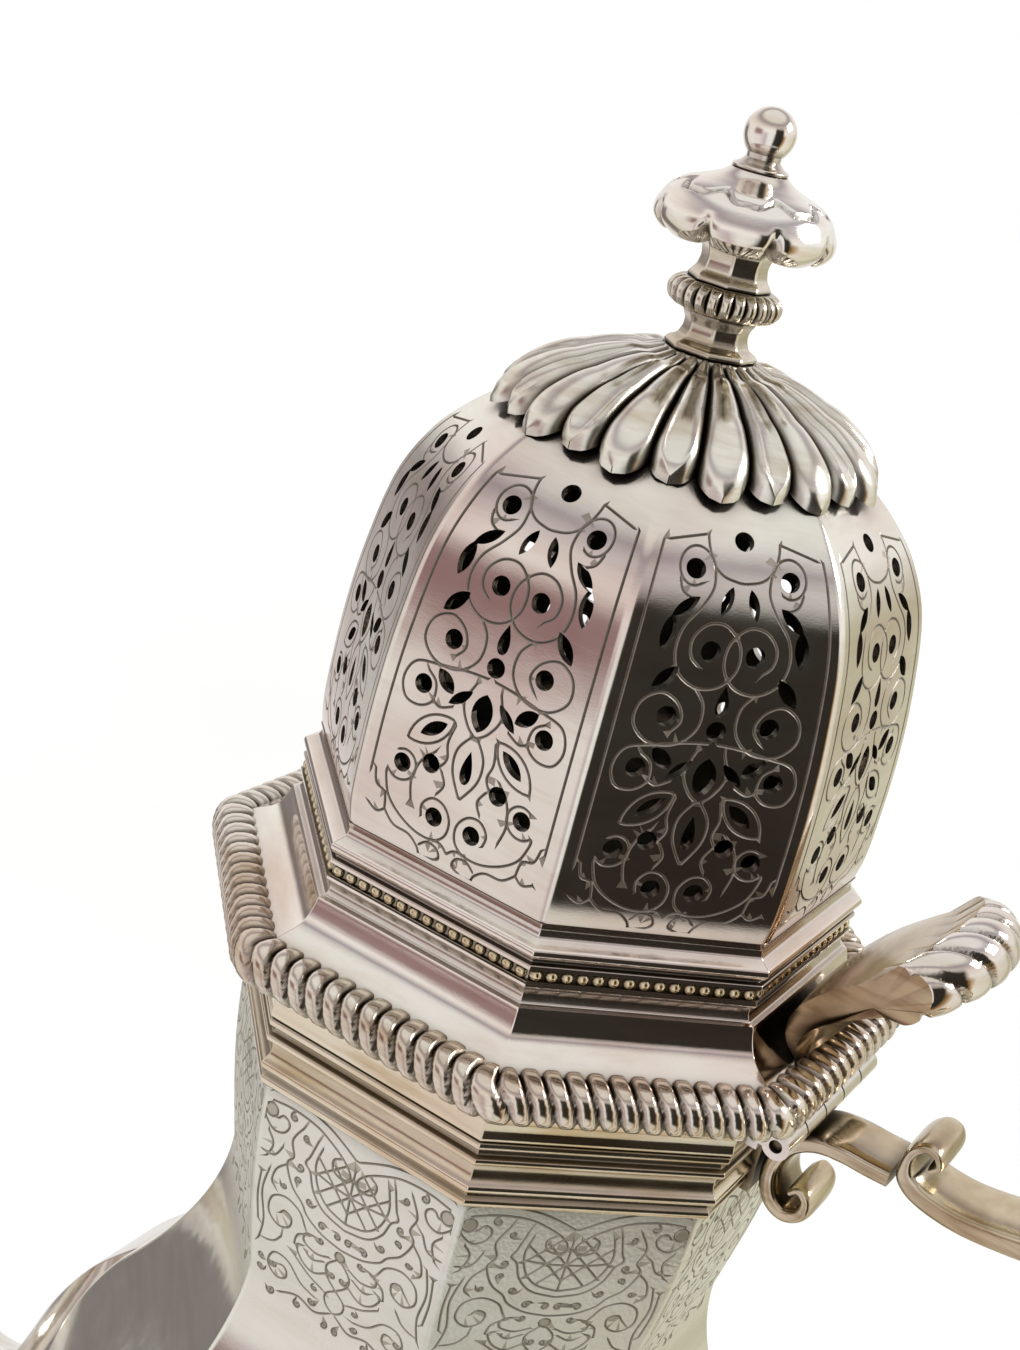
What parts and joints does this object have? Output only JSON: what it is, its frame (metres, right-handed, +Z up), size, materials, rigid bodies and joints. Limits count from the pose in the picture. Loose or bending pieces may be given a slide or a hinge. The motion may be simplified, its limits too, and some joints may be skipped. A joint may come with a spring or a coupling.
{
  "type": "coffee pot",
  "caption": "Eight-sided silver coffee pot with a hinged pierced dome cover, finial, thumbpiece, scroll handle and swan-neck spout.",
  "frame": {"origin": "on the pot's own axis at the level of the table it stands on", "axes": "+Z up along the pot's axis, +X towards the hinge and handle, -X towards the spout, the cover's hinge pin lies along Y"},
  "size_m": [0.2204, 0.1026, 0.288],
  "materials": {
    "silver": "polished",
    "tarnished": "polished",
    "gilt": "polished",
    "bone": "satin"
  },
  "bodies": {
    "pot": {"body_shell": "silver", "base_plate": "silver", "foot": "silver", "foot_wire": "silver", "neck_moulding": "tarnished", "rim_band": "tarnished", "spout": "silver", "spout_lip": "silver", "handle_plate": "gilt", "handle_arm": "gilt", "handle_scroll": "gilt", "insulator_upper": "bone", "handle_grip": "gilt", "insulator_lower": "bone", "handle_bracket": "gilt", "handle_pins": "silver", "hinge_body": "silver", "hinge_pin": "silver"},
    "cover": {"hinge_cover": "silver", "cover_flange": "tarnished", "cover_bezel": "silver", "gadroon_rim": "tarnished", "bead_band": "silver", "dome_foot": "silver", "dome": "silver", "crown": "silver", "finial_foot": "silver", "finial_knop": "silver", "finial_stem": "silver", "finial_cap": "silver", "finial_ball": "silver", "finial_bolt": "silver", "finial_nut": "silver", "thumbpiece": "silver"}
  },
  "joints": [
    {"name": "cover_hinge", "type": "hinge", "parent": "pot", "child": "cover", "pos_m": [0.04, 0, 0.1817], "axis": [0, 1, 0], "range_deg": [0, 55]}
  ]
}
